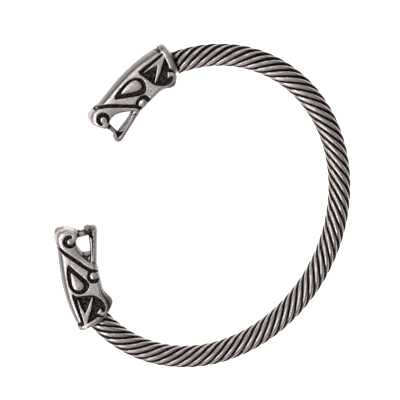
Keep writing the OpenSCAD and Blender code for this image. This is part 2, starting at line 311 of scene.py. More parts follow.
# along, up, half width
BROW_LINE = [
    (19.1, 5.4, 0.22), (18.3, 4.75, 0.3), (17.2, 4.0, 0.35), (15.5, 2.15, 0.36),
    (13.75, 0.05, 0.32), (12.6, -1.4, 0.34), (12.2, -2.5, 0.3), (12.0, -3.3, 0.2)]
CHEEK_CURL = [
    (12.35, -1.7, 0.2), (12.0, -1.2, 0.26), (11.5, -0.9, 0.26), (10.9, -0.8, 0.28),
    (10.3, -0.95, 0.34), (9.85, -1.35, 0.42), (9.65, -1.9, 0.42), (9.75, -2.5, 0.42),
    (10.1, -3.0, 0.34), (10.2, -3.8, 0.24)]
NOSTRIL = [
    (20.95, 1.75, 0.3), (21.0, 2.2, 0.36), (20.85, 2.75, 0.4), (20.4, 3.2, 0.42),
    (19.8, 3.4, 0.42), (19.2, 3.2, 0.42), (18.75, 2.75, 0.42), (18.6, 2.2, 0.42),
    (18.7, 1.65, 0.36), (19.0, 1.25, 0.28), (19.5, 0.95, 0.16)]
JAW_LINE = [(15.2, -2.62, 0.05), (17.0, -2.9, 0.09), (18.2, -3.08, 0.11), (20.3, -3.35, 0.12)]
MOUTH_CORNER = [(14.3, -2.2, 0.05), (14.0, -2.6, 0.13), (13.6, -3.1, 0.16)]
HOOK_LINE = [
    (1.05, -1.2, 0.16), (0.85, -1.9, 0.2), (0.7, -2.6, 0.16), (0.8, -3.2, 0.12),
    (1.3, -3.8, 0.05)]
THROAT_LINE = [
    (7.2, -3.1, 0.08), (6.2, -3.25, 0.16), (5.2, -3.65, 0.2), (4.2, -4.15, 0.2),
    (3.2, -4.4, 0.16), (2.2, -4.3, 0.08)]


def curved(points, parts=4):
    """A closed curve through a few points, as a finer outline."""
    p = np.array(points, float)
    a, b, c, d = np.roll(p, 1, 0), p, np.roll(p, -1, 0), np.roll(p, -2, 0)
    t = (np.arange(parts) / parts)[None, :, None]
    a, b, c, d = (q[:, None] for q in (a, b, c, d))
    out = (b + (c - a) / 2 * t + (a - 2.5 * b + 2 * c - d / 2) * t**2
           + (1.5 * b - a / 2 - 1.5 * c + d / 2) * t**3)
    return out.reshape(-1, 2)


def off_groove(x, y, line):
    """Distance from points to a groove of changing width, below zero in it."""
    best = np.full(x.shape, 1e9)
    for (ax, ay, aw), (bx, by, bw) in zip(line, line[1:]):
        ex, ey = bx - ax, by - ay
        t = np.clip(((x - ax) * ex + (y - ay) * ey) / (ex * ex + ey * ey), 0, 1)
        d = np.hypot(x - ax - ex * t, y - ay - ey * t) - (aw + (bw - aw) * t)
        best = np.minimum(best, d)
    return best


# %% Depths and small differences
# Each groove and how deep it is sunk; the panel and the drop are sunk by RELIEF.
GROOVES = ((BROW_LINE, 0.7), (CHEEK_CURL, 0.65), (NOSTRIL, 0.65), (MOUTH_CORNER, 0.3),
           (THROAT_LINE, 0.45), (HOOK_LINE, 0.5))
JAW_LINE_DEEP = {LEFT: 0.14, RIGHT: 0.35}
WALL, PIT_DEEP = 0.2, 0.6
# How high the drop's middle is domed, and two bosses: along, up, radius, height
DOME_HIGH = 0.16
BOSSES = ((10.85, -1.85, 0.75, 0.2), (19.85, 2.3, 0.85, 0.15))
# along, how far the ornament of a casting is shifted along the head
SHIFT = {LEFT: [(-4, 0.1), (4, 0.1), (6.4, -0.08), (7, 0.1), (7.3, 0.15), (9, -0.1), (11, 0),
                (14, 0.3), (20, 0.4), (24, 0.3)],
         RIGHT: [(-4, -0.05), (7, -0.05), (10.5, -0.5), (13, -0.42), (14.5, -0.15), (16, 0),
                 (17.5, -0.02), (19, -0.28), (24, -0.2)]}
# along, how far it is lifted
LIFT = {LEFT: [(-4, -0.25), (7, -0.25), (10, -0.15), (14, 0), (24, 0)],
        RIGHT: [(-4, 0), (24, 0)]}
PANEL_TIP_AT = {LEFT: (6.3, 3.6), RIGHT: PANEL[PANEL_TIP]}
# How much thinner the line over the drop is, and above which heights its points move
THINNER = {LEFT: 0.13, RIGHT: 0.0}
DROP_TOP, MIDDLE_TOP = 3.8, 3.1
# Small pits in front of the rim and at the fang's foot
RIM_PIT = {LEFT: [(-0.95, 4.4), (-0.1, 4.4), (-0.05, 3.1), (-0.35, 2.65), (-0.75, 2.9)],
           RIGHT: [(-0.95, 4.0), (-0.1, 4.0), (0.0, 2.7), (-0.4, 2.35), (-0.85, 2.45)]}
FOOT_PIT = {LEFT: [(19.2, -3.2), (20.5, -1.9), (21.3, -3.25)],
            RIGHT: [(19.35, -3.15), (20.5, -2.2), (21.25, -3.4)]}
print("grooves:", len(GROOVES) + 1, "and bosses:", len(BOSSES))

# %% Depth map of the ornament
side_u, side_v = np.meshgrid(U, V, indexing="ij")


def ramp(x):
    """From 0 to 1 as x goes from 0 to 1, with soft ends."""
    x = np.clip(x, 0, 1)
    return x * x * (3 - 2 * x)


def sunk(distance, depth):
    """Depth of a region whose edge is at distance zero."""
    return depth * ramp(0.5 - distance / WALL)


def ornament_maps(name):
    """Depth of a casting's sunk ornament and height of its domes."""
    shift, lift = (np.interp(U, *np.array(table[name]).T)[:, None] for table in (SHIFT, LIFT))
    x, y = side_u - shift, side_v - lift
    panel_points = list(PANEL)
    panel_points[PANEL_TIP] = PANEL_TIP_AT[name]
    panel = off_outline(x, y, curved(panel_points))
    for island in (STROKE, BARB):
        panel = np.maximum(panel, -off_outline(x, y, island))
    thin = THINNER[name]
    drop_middle = off_outline(x, y, curved([(u, v + thin * (v > MIDDLE_TOP))
                                            for u, v in DROP_MIDDLE]))
    drop = off_outline(x, y, curved([(u, v - thin * (v > DROP_TOP)) for u, v in DROP]))
    regions = [(panel, RELIEF), (np.maximum(drop, -drop_middle), RELIEF)]
    regions += [(off_groove(x, y, line), deep)
                for line, deep in GROOVES + ((JAW_LINE, JAW_LINE_DEEP[name]),)]
    regions += [(off_outline(side_u, side_v, pit[name]), PIT_DEEP)
                for pit in (RIM_PIT, FOOT_PIT)]
    depth = np.max([sunk(distance, deep) for distance, deep in regions], axis=0)
    domes = DOME_HIGH * ramp(-drop_middle)
    for u, v, radius, height in BOSSES:
        domes += height * ramp(1 - np.hypot(x - u, y - v) / radius)
    return depth, domes


def pushed(field, push):
    """The field with its side faces pushed inward by a depth map."""
    place = np.abs(Z)[None, None, :] + push[:, :, None]
    place = np.clip(place / CELL, 0, len(HALF_Z) - JUST_INSIDE)
    low = place.astype(int)
    part = place - low
    half = field[:, :, len(HALF_Z) - 1:]
    return (np.take_along_axis(half, low, 2) * (1 - part)
            + np.take_along_axis(half, low + 1, 2) * part)


CASTINGS = {name: ornament_maps(name) for name in (LEFT, RIGHT)}
for name, (depth, domes) in CASTINGS.items():
    print(name, "deepest ornament", round(float(depth.max()), 2), "mm")

# %% [markdown]
# ## Collar, fangs, chin and notches
# The collar is a rim across the neck, where the founder joined the head to the cable. The two
# fangs close the open mouth at the front, and a small scroll forms the chin. Notches set off
# the collars and one nose. The other head kept some metal in its mouth and has a fuller nose.
# Each is a simple field that is run into the body, or cut out of it, with a small rounding.

# %% Notches
gu, gv, gz = np.meshgrid(U, V, Z, indexing="ij")


def both_rounded(a, b, rounding):
    """What lies inside two fields at once, with its edges rounded."""
    a, b = a + rounding, b + rounding
    return (np.minimum(np.maximum(a, b), 0)
            + np.hypot(np.maximum(a, 0), np.maximum(b, 0)) - rounding)


def prism(outline, half_depth, middle=0.0, rounding=0.1):
    """Field of an outline pulled along Z, alike on both sides, with rounded edges."""
    flat = off_outline(side_u, side_v, outline)[:, :, None]
    return both_rounded(flat, np.abs(np.abs(gz) - middle) - half_depth, rounding)


RIM_NOTCH = [(-1.3, 5.2), (0.1, 5.2), (-0.15, 3.95), (-0.5, 3.55), (-0.95, 3.65)]
NOSE_NOTCH = [(18.8, 6.6), (19.9, 6.6), (19.7, 5.0), (19.1, 5.0)]
rim_notch = prism(RIM_NOTCH, half_depth=6.0)
nose_notch = prism(NOSE_NOTCH, half_depth=1.15, middle=2.3)
notches = {LEFT: np.minimum(nose_notch, rim_notch), RIGHT: rim_notch}
print("notched heads:", sorted(notches))

# %% Collar
def slanted(u, v, start, degrees):
    """How far a place is from a start, along a slanted line and across it."""
    u, v, a = u - start[0], v - start[1], np.radians(degrees)
    return u * np.cos(a) + v * np.sin(a), -u * np.sin(a) + v * np.cos(a)


rim_x, rim_y = slanted(gu, gv, COLLAR_BACK, COLLAR_SLANT)
# Half heights above and below, half width, and how square the outline is each way
RIM_HIGH, RIM_LOW, RIM_WIDE = 3.7, 3.95, HEAD_W / 2 + 0.3
RIM_SQUARE_UP, RIM_SQUARE_ACROSS = 0.75, 0.6
angles = np.radians(np.arange(0, 360, 7.5))
rim_c, rim_s = np.cos(angles), np.sin(angles)
rim_outline = np.stack([
    np.where(rim_s > 0, RIM_HIGH, RIM_LOW) * np.sign(rim_s) * np.abs(rim_s) ** RIM_SQUARE_UP,
    RIM_WIDE * np.sign(rim_c) * np.abs(rim_c) ** RIM_SQUARE_ACROSS], 1)

# Distances to the outline are worked out in one plane, and read from there.
PLANE_HALF, PLANE_ROWS = 6, 160
plane_up = np.linspace(-PLANE_HALF, PLANE_HALF, PLANE_ROWS + 1)
rim_plane = off_outline(*np.meshgrid(plane_up, Z, indexing="ij"), rim_outline)
row = (rim_y[:, :, 0] + PLANE_HALF) / (2 * PLANE_HALF) * PLANE_ROWS
row = np.clip(row, 0, PLANE_ROWS + 1 - JUST_INSIDE)
low = row.astype(int)
part = (row - low)[:, :, None]
rim_flat = rim_plane[low] * (1 - part) + rim_plane[low + 1] * part

# The rim's back swells towards the cable, more on one casting than on the other.
RIM_SWELL = {LEFT: 0.85, RIGHT: 0.42}
SWELL_MIDDLE, SWELL_HALF_UP, SWELL_HALF_ACROSS = -0.7, 4.6, 6
# How much thicker the rim's top end is, from where and over what length
THICKER_BY, THICKER_FROM, THICKER_OVER = 0.25, 0.6, 3
RIM_ROUND = 0.36


def swell(y, z, most):
    """How far the back of the rim stands out at a place on it."""
    share = 1 - ((y - SWELL_MIDDLE) / SWELL_HALF_UP) ** 2 - (z / SWELL_HALF_ACROSS) ** 2
    return most * np.clip(share, 0, 1)


def collar_field(most):
    """The rim across the neck, with its back swollen by so much."""
    back = -swell(rim_y, gz, most)
    front = COLLAR_T + THICKER_BY * ramp((rim_y - THICKER_FROM) / THICKER_OVER)
    return both_rounded(rim_flat, np.maximum(back - rim_x, rim_x - front), RIM_ROUND)


print("rim outline:", len(rim_outline), "points")

# %% Fangs, chin and lumps
FANG = [(20.15, 0.9), (21.25, 0.9), (21.1, -2.8), (20.4, -2.8)]
fangs = prism(FANG, half_depth=0.575, middle=2.075, rounding=0.2)
# along, up, radius, half width
CHINS = {LEFT: (21.25, -2.85, 0.78, 1.1), RIGHT: (21.45, -2.35, 0.92, 1.7)}
# Metal left in the corner of one mouth
MOUTH_WEB = [(14.0, -0.4), (15.1, 0.2), (15.75, 0.1), (15.75, -2.5), (14.0, -2.6)]
# One casting's nose is fuller on its far side.
LOBE_U, LOBE_V, LOBE_Z, LOBE_R = 21.75, 4.5, -2.2, 1.0
nose_lobe = np.sqrt((gu - LOBE_U) ** 2 + (gv - LOBE_V) ** 2 + (gz - LOBE_Z) ** 2) - LOBE_R
lumps = {LEFT: {}, RIGHT: {"web": prism(MOUTH_WEB, half_depth=2.5, rounding=0.3),
                           "lobe": nose_lobe}}

# The hole for the core rod lies half-way between the two heads' seats and bends.
HOLE_TURN, HOLE_ROOM, HOLE_DEEP = 2.6, 0.2, 3.4
HOLE_START = (LEFT_SEAT[0], (LEFT_SEAT[1] + RIGHT_SEAT[1]) / 2)
hole_x, hole_y = slanted(gu, gv, HOLE_START, (LEFT_BEND + RIGHT_BEND) / 2 - HOLE_TURN)
hole = np.maximum(np.hypot(hole_y, gz) - (CORE_D / 2 + HOLE_ROOM), hole_x - HOLE_DEEP)
print("hole for the core rod:", CORE_D + 2 * HOLE_ROOM, "mm wide")

# %% Add and cut
# How widely each part runs into the body, and how soft the cuts are
JOIN = {"collar": 0.15, "fangs": 0.25, "chin": 0.15, "web": 0.2, "lobe": 0.3}
NOTCH_EDGE, CHIN_EDGE, NECK_EDGE = 0.13, 0.3, 0.05
# The neck ends this far into the collar.
NECK_END = 0.4


def finished(name, body):
    """The body with its notches, collar, fangs, chin, lumps and hole."""
    chin_u, chin_v, chin_r, chin_half = CHINS[name]
    chin = np.hypot(gu - chin_u, gv - chin_v) - chin_r
    parts = {"collar": collar_field(RIM_SWELL[name]), "fangs": fangs,
             "chin": soft_max(chin, np.abs(gz) - chin_half, CHIN_EDGE), **lumps[name]}
    body = soft_max(body, -notches[name], NOTCH_EDGE)
    body = soft_max(body, NECK_END - rim_x, NECK_EDGE)
    for part, field in parts.items():
        body = soft_min(body, field, JOIN[part])
    return np.maximum(body, -hole)


head_fields = {name: finished(name, pushed(body, depth - domes))
               for name, (depth, domes) in CASTINGS.items()}
for name, field in head_fields.items():
    print("metal in the", name, round(float((field < 0).sum() * CELL**3)), "mm3")

# %% [markdown]
# ## From the field to a mesh
# Wherever the field changes sign inside a grid cell, the cell gets one point, at the mean of
# the places where the sign changes on its edges. Neighbouring cells' points are joined by
# four-sided faces. This is called a surface net. It gives an even, smooth and closed mesh.

# %% Surface net
def surface_net(field):
    """Points and four-sided faces of the field's zero surface, in mm."""
    inside = field < 0
    n = np.array(field.shape)
    corner = list(np.ndindex(2, 2, 2))
    total = sum(inside[tuple(slice(k, size - 1 + k) for k, size in zip(c, n))].astype(int)
                for c in corner)
    mixed = (total > 0) & (total < 8)
    cells = np.argwhere(mixed)
    index = np.full(mixed.shape, -1)
    index[mixed] = np.arange(len(cells))
    points = np.zeros((len(cells), 3))
    hits = np.zeros(len(cells))
    for c in corner:
        for axis in range(3):
            if c[axis]:
                continue
            d = c + np.eye(3, dtype=int)[axis]
            fa = field[tuple((cells + c).T)]
            fb = field[tuple((cells + d).T)]
            cut = (fa < 0) != (fb < 0)
            t = np.where(cut, fa / np.where(cut, fa - fb, 1), 0)
            place = np.array(c, float) + t[:, None] * np.eye(3)[axis]
            points += np.where(cut[:, None], place, 0)
            hits += cut
    points = (cells + points / hits[:, None]) * CELL + GRID_CORNER
    faces = []
    for axis in range(3):
        b, c = (axis + 1) % 3, (axis + 2) % 3
        edges = np.argwhere(np.diff(inside, axis=axis))
        edges = edges[(edges[:, b] > 0) & (edges[:, c] > 0)
                      & (edges[:, b] < n[b] - 1) & (edges[:, c] < n[c] - 1)]
        starts_inside = inside[tuple(edges.T)]
        step_b, step_c = np.eye(3, dtype=int)[[b, c]]
        quad = np.stack([index[tuple((edges - step).T)]
                         for step in (step_b + step_c, step_c, 0, step_b)], 1)
        quad[~starts_inside] = quad[~starts_inside][:, ::-1]
        faces.append(quad)
    return points, np.concatenate(faces)


# %% Meshes of the heads
# Rounds, how far a point is pulled in, and how much more it is let out
CALM_ROUNDS, PULL, LET_OUT = 6, 0.5, 1.04


def relaxed(points, faces):
    """Each point moved a little towards its neighbours and back, to calm steps."""
    ends = np.concatenate([faces[:, [k, (k + 1) % 4]] for k in range(4)])
    ends = np.concatenate([ends, ends[:, ::-1]])
    count = np.bincount(ends[:, 0], minlength=len(points))[:, None]
    for k in range(2 * CALM_ROUNDS):
        mean = np.stack([np.bincount(ends[:, 0], points[ends[:, 1], i], len(points))
                         for i in range(3)], 1) / count
        points = points + (PULL if k % 2 == 0 else -PULL * LET_OUT) * (mean - points)
    return points


def normals_of(points, faces):
    """Mean direction of the faces round each point."""
    facing = np.cross(points[faces[:, 2]] - points[faces[:, 0]],
                      points[faces[:, 3]] - points[faces[:, 1]])
    normals = np.stack([sum(np.bincount(faces[:, k], facing[:, i], len(points))
                            for k in range(4)) for i in range(3)], 1)
    return normals / np.linalg.norm(normals, axis=1)[:, None]


head_nets = {}
for name, field in head_fields.items():
    points, faces = surface_net(field)
    head_nets[name] = relaxed(points, faces), faces
    print(name, "mesh:", len(points), "points,", 2 * len(faces), "triangles")

# %% [markdown]
# ## Where the metal is dark and where it is bright
# Blackened metal stays dark where a polishing wheel can't reach. That is in every hollow, so it
# can be read from the field: the share of metal in a small ball round a surface point is a
# half on a flat face, more in a hollow and less on an edge. Other places, such as the floor
# of the mouth, are given as zones with soft edges. Some zones are painted light: painted shade
# under the throat, on the far side of one nose, on the grey bands and on one head's less worn
# edges, a painted sheen on the face behind the panel, and painted highlights on the barb and
# the nose. Three numbers are stored on each point of the mesh, the patina with the painted
# shade, the wear with the painted sheen and highlights, and the polish with the nose's painted
# highlight and the bands' painted shade, and the finish below reads them.

# %% Measures on the skin
def at_points(field, points):
    """Values of a grid field at points, read linearly."""
    place = np.clip((points - GRID_CORNER) / CELL, 0, np.array(field.shape) - JUST_INSIDE)
    i = place.astype(int)
    t = place - i
    out = 0
    for corner in np.ndindex(2, 2, 2):
        weight = np.abs(1 - np.array(corner) - t).prod(axis=1)
        out = out + weight * field[tuple((i + corner).T)]
    return out


# The balls that find edges and hollows
EDGE_BALL, HOLLOW_BALL = 0.28, 0.6
# Spots on a head as along, up; the curls in the web have a radius too
BROW_KNOT, BEAD, BARB_MIDDLE, FANG_ROOT = (19.25, 5.8), (19.2, 5.2), (2.4, -2.0), (20.65, 0)
WEB_CURLS = ((16.5, -1.3, 1.15), (14.6, -1.9, 0.75))
# The last number is along the head: the middle of a painted sheen on the face behind the panel.
FANG_ROOT_HALF, CHIN_CURL_R, PAINTED_SHEEN_AT = 0.35, 0.6, 7.7


def measures(name, points, normals):
    """What the zones of a head are told by, at each point of its skin."""
    along, up, side = points.T
    share = np.clip(0.5 - head_fields[name] / (2 * CELL), 0, 1)
    depth = np.repeat(CASTINGS[name][0][:, :, None], len(Z), 2)
    chin_u, chin_v, _, _ = CHINS[name]
    from_chin = np.hypot(along - chin_u, up - chin_v)

    def off(spot, half=0):
        return np.hypot(np.maximum(np.abs(along - spot[0]) - half, 0), up - spot[1])

    return {
        "along": along, "up": up, "side": side, "off_middle": np.abs(side),
        "near": side if name == RIGHT else -side,
        "faces_up": normals[:, 1], "faces_side": np.abs(normals[:, 2]),
        "edge_share": at_points(blurred(share, EDGE_BALL), points),
        "hollow_share": at_points(blurred(share, HOLLOW_BALL), points),
        "sunk": at_points(depth, points),
        "off_notch": at_points(notches[name], points),
        "past_rim": at_points(rim_x, points) - COLLAR_T,
        "off_rim_pit": off_outline(along, up, RIM_PIT[name]),
        "off_foot_pit": off_outline(along, up, FOOT_PIT[name]),
        "off_fang_root": off(FANG_ROOT, FANG_ROOT_HALF),
        "off_chin": from_chin, "off_chin_curl": np.abs(from_chin - CHIN_CURL_R),
        "past_chin": along - chin_u,
        "off_web_curl": np.min([np.abs(off(curl) - curl[2]) for curl in WEB_CURLS], axis=0),
        "off_knot": off(BROW_KNOT), "off_bead": off(BEAD), "off_barb": off(BARB_MIDDLE),
        "off_painted_sheen": np.abs(along - PAINTED_SHEEN_AT)}


# %% Zones of a head
# Each edge of a zone: what is measured, where the edge is and how wide its soft part is. A
# width above zero keeps what is past the edge, and one below zero what is before it.
SHARP = -1e-6
FLAT = ("faces_side", 0.7, 0.2)
NOSE = [("along", 19.2, 1.6), ("up", 0.6, 0.5)]
ZONES = {
    "groove": [("sunk", 0.12, 0.25), ("off_middle", 1.8, 0.3)],
    "hollow": [("hollow_share", 0.6, 0.14)],
    "notch": [("off_notch", 0.3, -0.25), ("past_rim", 0, 0.15)],
    "rim_pit": [("off_rim_pit", 0.15, -0.3), ("past_rim", 0.1, 0.2)],
    "fang_foot": [("off_foot_pit", 0.15, -0.3)],
    "fang_root": [("off_fang_root", 0.45, -0.2), ("off_middle", 3.1, -0.2)],
    "mouth_floor": [("up", -2.7, 0.3), ("up", -1.4, -0.2), ("faces_up", 0.3, 0.3),
                    ("along", 14, 0.5), ("along", 20.6, -0.4), ("near", 1.4, -0.6)],
    # Painted shade: the underside of the neck near the collar is darkened and dulled.
    "throat": [("along", 8, -1.5), ("up", -3.5, -0.6)],
    "chin": [("off_chin", 1.3, -0.2)],
    "chin_curl": [("off_chin_curl", 0.2, -0.1), ("past_chin", 0.35, -0.4)],
    "web": [("off_middle", 3.2, -0.3), ("along", 13.8, 0.3), ("along", 16.6, -0.4),
            ("up", -2.5, 0.2), ("up", 0.8, -0.3)],
    "web_curl": [("off_web_curl", 0.2, -0.12)],
    # Painted shade on the far side of the right head's nose.
    "far_nose_shade": [("along", 21.6, 0.7), ("up", 2.6, 0.9), ("side", 2.7, -1.2)],
    "knot": [("off_knot", 0.6, -0.15)],
    "bead": [("off_bead", 0.3, -0.12)],
    # Worn edges. The left head gets less of this wear, as painted shade on its dimmer ridge
    # lines.
    "edge": [("edge_share", 0.46, -0.13)],
    "flat_side": [FLAT],
    "jaw": [("along", 14.2, 0.6), ("up", -1.4, -0.3)],
    "lip": [("along", 14.5, 1.2), ("along", 19.6, -1), ("up", 2.9, -1)],
    "fang": [("along", 19.7, 0.3), ("along", 21.6, -0.3), ("up", -2.6, 0.3), ("up", 0.2, -0.2)],
    "crown": [("off_middle", 2.2, -2.2), ("faces_up", 0.6, 0.3), ("up", 2, 1)],
    "belly": [("off_middle", 2.2, -2.2), ("faces_up", -0.6, -0.3), ("up", -1.8, -0.6)],
    # The nose is polished, and its front is made brighter still as a painted highlight.
    "nose": NOSE,
    "nose_round": NOSE + [("faces_side", 0.9, -0.2)],
    # Painted sheen on the face behind the panel, stored with the wear.
    "painted_sheen": [("off_painted_sheen", 2.2, -2.2), ("up", 2.4, -2), FLAT],
    # The barb is worn, and it is brightened further as a painted highlight.
    "barb": [("off_barb", 0.9, SHARP), FLAT],
    "rim_edge": [("past_rim", -0.5, 0.2), ("past_rim", 0.25, -0.15), FLAT],
    "rim_back": [("past_rim", -0.4, -0.2)]}


def soft_zone(measured, edges):
    """1 well inside a zone and 0 outside it."""
    inside = 1.0
    for measure, edge, width in edges:
        inside = inside * ramp((measured[measure] - edge) / width)
    return inside


# %% Patina with painted shade, wear with painted sheen, and polish of a head
# How strongly each zone counts. Two numbers are for the left and for the right head.
# The throat and the far nose in this table are painted shade, not patina.
DARK = {"groove": 1, "hollow": 1, "notch": 1, "rim_pit": 1, "fang_foot": 1, "fang_root": 0.9,
        "mouth_floor": 0.85, "throat": (0.32, 0.55), "chin": (0, 1), "web_lines": 1,
        "far_nose_shade": (0, 0.6), "knot": (1, 0)}
# The zone on the face behind the panel is a painted sheen, not wear.
WORN_AND_SHEEN = {"edge": (0.4, 0.6), "crown": 0.1, "nose_round": 0.25, "painted_sheen": 1, "barb": 0.8,
        "rim_edge": 0.9, "web": 0.3}
# Dulling the throat here is painted shade as well.
DULL = {"jaw": (0.6, 0.2), "throat": 0.8, "lip": 0.35, "fang": 0.7}
# The nose's polish here is partly a painted highlight.
BRIGHT = {"polished_side": 1, "crown": 0.6, "belly": 0.5, "nose": 0.78}
WEB, BEAD_BRIGHT, RIM_BACK_DULL = (0, 1), (1, 0), 0.45
# The plain part of the chin and of the web, and how much darker their curls are
CHIN_PLAIN, CHIN_CURL, WEB_PLAIN, WEB_CURL = 0.48, 0.45, 0.3, 0.6


def strength(value, name):
    """A strength that may be given for each of the two heads."""
    return value[name == RIGHT] if isinstance(value, tuple) else value


def strongest(zone, table, name):
    """The greatest of some zones at each point, each times its strength."""
    return np.max([strength(value, name) * zone[key] for key, value in table.items()], axis=0)


def finish_numbers(name, points, normals):
    """Patina with painted shade, wear with painted sheen, and polish at each point of a head.
    """
    measured = measures(name, points, normals)
    zone = {key: soft_zone(measured, edges) for key, edges in ZONES.items()}
    zone["web"] *= strength(WEB, name)
    zone["web_lines"] = zone["web"] * (WEB_PLAIN + WEB_CURL * zone["web_curl"])
    zone["hollow"] *= 1 - zone["web"]
    zone["mouth_floor"] *= 1 - zone["web"]
    zone["chin"] *= CHIN_PLAIN + CHIN_CURL * zone["chin_curl"]
    zone["belly"] *= 1 - zone["throat"]
    # Only the flat side faces keep their polish. The grey skin left on the bands also stands in
    # for their darker reflection, as painted shade.
    zone["polished_side"] = zone["flat_side"] * (1 - strongest(zone, DULL, name))
    bead = zone["bead"] * strength(BEAD_BRIGHT, name)
    # The patina number also holds painted shade, the wear painted sheen and highlights, and the
    # polish a painted highlight on the nose and painted shade on the bands.
    patina_and_shade = strongest(zone, DARK, name) * (1 - bead)
    wear_and_sheen = np.maximum((1 - patina_and_shade) * strongest(zone, WORN_AND_SHEEN, name), bead)
    polish_and_painted_light = strongest(zone, BRIGHT, name) * (1 - RIM_BACK_DULL * zone["rim_back"])
    return patina_and_shade, wear_and_sheen, polish_and_painted_light


# %% Head objects
def store(mesh, name, values):
    """Keep a number on each point of a mesh."""
    mesh.attributes.new(name, "FLOAT", "POINT").data.foreach_set(
        "value", np.asarray(values, np.float32))


def make_mesh(name, points, faces, ends=()):
    """A smooth mesh from points in millimetres, four-sided faces and any others."""
    mesh = bpy.data.meshes.new(name)
    mesh.from_pydata((points * MM).tolist(), [], faces.tolist() + list(ends))
    mesh.polygons.foreach_set("use_smooth", np.ones(len(mesh.polygons), bool))
    mesh.update()
    return mesh


def placed(points, place):
    """Points after a placement."""
    rows = np.array(place)
    return points @ rows[:3, :3].T + rows[:3, 3]


heads = {}
for node, place in head_places.items():
    points, faces = head_nets[node]
    mesh = make_mesh("cast_" + node, placed(points, place), faces)
    finish = finish_numbers(node, points, normals_of(points, faces))
    for kind, values in zip(("patina_and_shade", "wear_and_sheen", "polish_and_painted_light"), finish):
        store(mesh, kind, values)
    print(node, "mean patina", round(float(finish[0].mean()), 2))
    head = add_object("cast_" + node, mesh)
    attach(head, "root")
    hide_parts(node)
    heads[node] = head
print("heads placed:", sorted(heads))

# %% [markdown]
# ## The wires
# Each wire winds left-handed round the core, one turn in 23 mm. A hand-laid cable is never
# quite even, so a short table says how far the turn is ahead or behind along the way. The
# wire is a round tube swept along this path. Its outer side gets polished and the rest stays
# dark, which the angle round the wire gives directly, with some drift along it. The bright
# strip is made narrower on the ring's outer side and on the cable's flanks as painted shade.
# The wires are darkened by the collars, both as patina in the joint and as painted shade.

# %% Cable path
# run from the right head, extra turn in degrees
UNEVEN_LAY = np.array([(-5, 6), (6, 14), (18, 23), (41, 27), (53, 30), (65, 34), (76, 36),
                       (88, 33), (100, 29), (112, 26), (124, 22), (150, 22)], float)
# The oval is measured in fine steps, a little past both ends.
FINE_DEGREES, PAST_DEGREES = 0.1, 8
fine_angles = np.arange(RIGHT_END - PAST_DEGREES, LEFT_END + PAST_DEGREES, FINE_DEGREES)
fine_steps = np.linalg.norm(np.diff(oval(fine_angles)[0], axis=0), axis=1)
fine_run = np.concatenate([[0], np.cumsum(fine_steps)])
cable_from = np.interp(RIGHT_END, fine_angles, fine_run)
cable_to = np.interp(LEFT_END, fine_angles, fine_run)
WIRE_R = WIRE_D / 2
WIRE_SINK, TUBE_SHARE = 0.05, 0.98
LAY_R = CABLE_D / 2 - WIRE_R - WIRE_SINK
TUBE_R = TUBE_SHARE * WIRE_R
SEAM_GAP = 0.1
HEAD_REACH = 15.0
print("cable length:", round(cable_to - cable_from, 1), "mm")


def wire_centre(number, run):
    """Middle of a wire, and the outward direction there, after a run."""
    point, _, outward = oval(np.interp(run, fine_run, fine_angles))
    turn = np.radians(360 / WIRES * number + 360 * (run - cable_from) / LAY
                      + np.interp(run - cable_from, *UNEVEN_LAY.T))
    out = np.cos(turn)[:, None] * outward + np.sin(turn)[:, None] * [0, 0, 1]
    return point + LAY_R * out, out


def behind_collar(points, name):
    """How far points near a head are behind the swollen back of its collar."""
    local = placed(points, head_places[name].inverted())
    in_front, across = slanted(local[:, 0], local[:, 1], COLLAR_BACK, COLLAR_SLANT)
    behind = -in_front - swell(across, local[:, 2], RIM_SWELL[name])
    return np.where(np.linalg.norm(local, axis=1) < HEAD_REACH, behind, HEAD_REACH)


# %% Sweep and seat of a wire
AROUND = 20
STEP = 0.4
RUN_ON, NUDGE = 4, 0.02
MEET_ROUNDS, MEET_STEP = 3, 0.1
run = np.arange(cable_from - RUN_ON, cable_to + RUN_ON, STEP)
theta = np.linspace(0, 2 * np.pi, AROUND, endpoint=False)


def wire_axes(number):
    """Middle and outward direction of a wire along its run, and its own three directions."""
    centre, out = wire_centre(number, run)
    along = wire_centre(number, run + NUDGE)[0] - wire_centre(number, run - NUDGE)[0]
    along /= np.linalg.norm(along, axis=1)[:, None]
    flat = out - (out * along).sum(1)[:, None] * along
    flat /= np.linalg.norm(flat, axis=1)[:, None]
    return centre, out, along, flat, np.cross(along, flat)


def meet_collar(ring, heading, name):
    """An end ring drawn out along the wire, up to the slanted back of a collar."""
    heading = np.array(lying)[:3, :3] @ heading
    for _ in range(MEET_ROUNDS):
        here = behind_collar(ring, name) - SEAM_GAP
        nearer = behind_collar(ring + MEET_STEP * heading, name) - SEAM_GAP
        ring = ring + (here / ((here - nearer) / MEET_STEP))[:, None] * heading
    return ring


def tube_faces(rings):
    """Four-sided faces between the rings of a tube, and its two end faces."""
    at = np.arange(rings * AROUND).reshape(rings, AROUND)
    after = np.roll(at, -1, axis=1)
    faces = np.stack([at[:-1], after[:-1], after[1:], at[1:]], -1).reshape(-1, 4)
    return faces, [at[0, ::-1].tolist(), at[-1].tolist()]


print("steps along a wire:", len(run))

# %% Wire meshes
# Half of a wire's polished strip, its soft edge and what makes it narrower, in degrees: a
# random drift, and painted shade on the ring's outer side and on the cable's flanks
STRIP_HALF, STRIP_SOFT, DRIFT, AT_OUTSIDE, AT_FLANK = 38, 30, 5, 8, 58
FLANK_MOST = 0.5
# How dark the wires are by the collars, up to where and over what length: patina in the
# joint, and painted shade where the collar meets the wires
END_DARK, END_TO, END_OVER = 0.7, 0.9, 0.6
DRIFT_EVERY = 8.0
